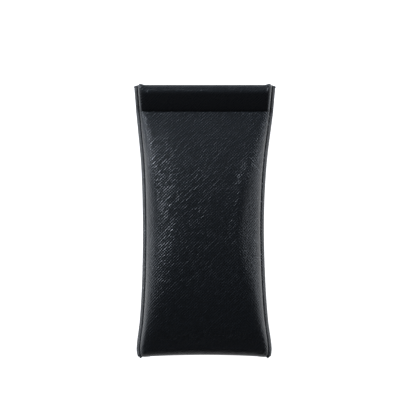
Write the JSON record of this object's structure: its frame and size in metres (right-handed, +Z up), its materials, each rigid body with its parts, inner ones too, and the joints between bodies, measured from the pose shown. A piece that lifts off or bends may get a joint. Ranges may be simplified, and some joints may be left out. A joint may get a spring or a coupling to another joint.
{
  "type": "soft pouch glasses case",
  "caption": "Slim soft pouch for folded spectacles, with a sprung mouth that opens when its two ends are squeezed and snaps shut by itself.",
  "frame": {"origin": "on the surface the pouch lies on, under the middle of its outline", "axes": "+Y along the pouch towards its mouth, +X across it, +Z up out of the front panel; the pouch lies on its back"},
  "size_m": [0.0894, 0.171, 0.0271],
  "materials": {
    "outer_leather": "black leather with a fine diagonal cross-hatch embossing, semi-gloss",
    "lining": "soft black brushed lining, matte",
    "spring_steel": "cold-rolled spring steel strip, satin",
    "end_tape": "dark grey woven adhesive tape",
    "thread": "black twisted polyester sewing thread"
  },
  "bodies": {
    "back_wall": {"back_panel_main": "outer_leather", "back_lining": "lining", "back_spring_strip": "spring_steel", "back_hem_stitching": "thread", "left_seam_thread": "thread", "right_seam_thread": "thread", "bottom_seam_thread": "thread"},
    "front_wall": {"front_panel_main": "outer_leather", "front_lining": "lining", "front_spring_strip": "spring_steel", "front_hem_stitching": "thread"},
    "back_left_side": {"back_panel_left_side": "outer_leather", "back_strip_tape_left": "end_tape"},
    "back_right_side": {"back_panel_right_side": "outer_leather", "back_strip_tape_right": "end_tape"},
    "front_left_side": {"front_panel_left_side": "outer_leather", "front_strip_tape_left": "end_tape"},
    "front_right_side": {"front_panel_right_side": "outer_leather", "front_strip_tape_right": "end_tape"}
  },
  "joints": [
    {"name": "mouth_opening", "type": "hinge", "parent": "back_wall", "child": "front_wall", "pos_m": [0, -0.0855, 0.0135], "axis": [1, 0, 0], "range_deg": [0, 12.5], "stiffness_Nm_per_rad": 0.2, "deforming": ["left_seam_thread", "right_seam_thread"]},
    {"name": "back_left_fold", "type": "hinge", "parent": "back_wall", "child": "back_left_side", "pos_m": [-0.028, -0.0855, 0.0135], "axis": [0.1162, 0.9932, 0], "range_deg": [0, 33], "deforming": ["back_spring_strip", "back_lining", "back_hem_stitching"]},
    {"name": "back_right_fold", "type": "hinge", "parent": "back_wall", "child": "back_right_side", "pos_m": [0.028, -0.0855, 0.0135], "axis": [0.1162, -0.9932, 0], "range_deg": [0, 33]},
    {"name": "front_left_fold", "type": "hinge", "parent": "front_wall", "child": "front_left_side", "pos_m": [-0.028, -0.0855, 0.0135], "axis": [-0.1162, -0.9932, 0], "range_deg": [0, 33], "deforming": ["front_spring_strip", "front_lining", "front_hem_stitching"]},
    {"name": "front_right_fold", "type": "hinge", "parent": "front_wall", "child": "front_right_side", "pos_m": [0.028, -0.0855, 0.0135], "axis": [-0.1162, 0.9932, 0], "range_deg": [0, 33]}
  ],
  "couplings": [
    {"joint": "back_left_fold", "follows": "mouth_opening", "ratio": 2.6},
    {"joint": "back_right_fold", "follows": "mouth_opening", "ratio": 2.6},
    {"joint": "front_left_fold", "follows": "mouth_opening", "ratio": 2.6},
    {"joint": "front_right_fold", "follows": "mouth_opening", "ratio": 2.6}
  ]
}
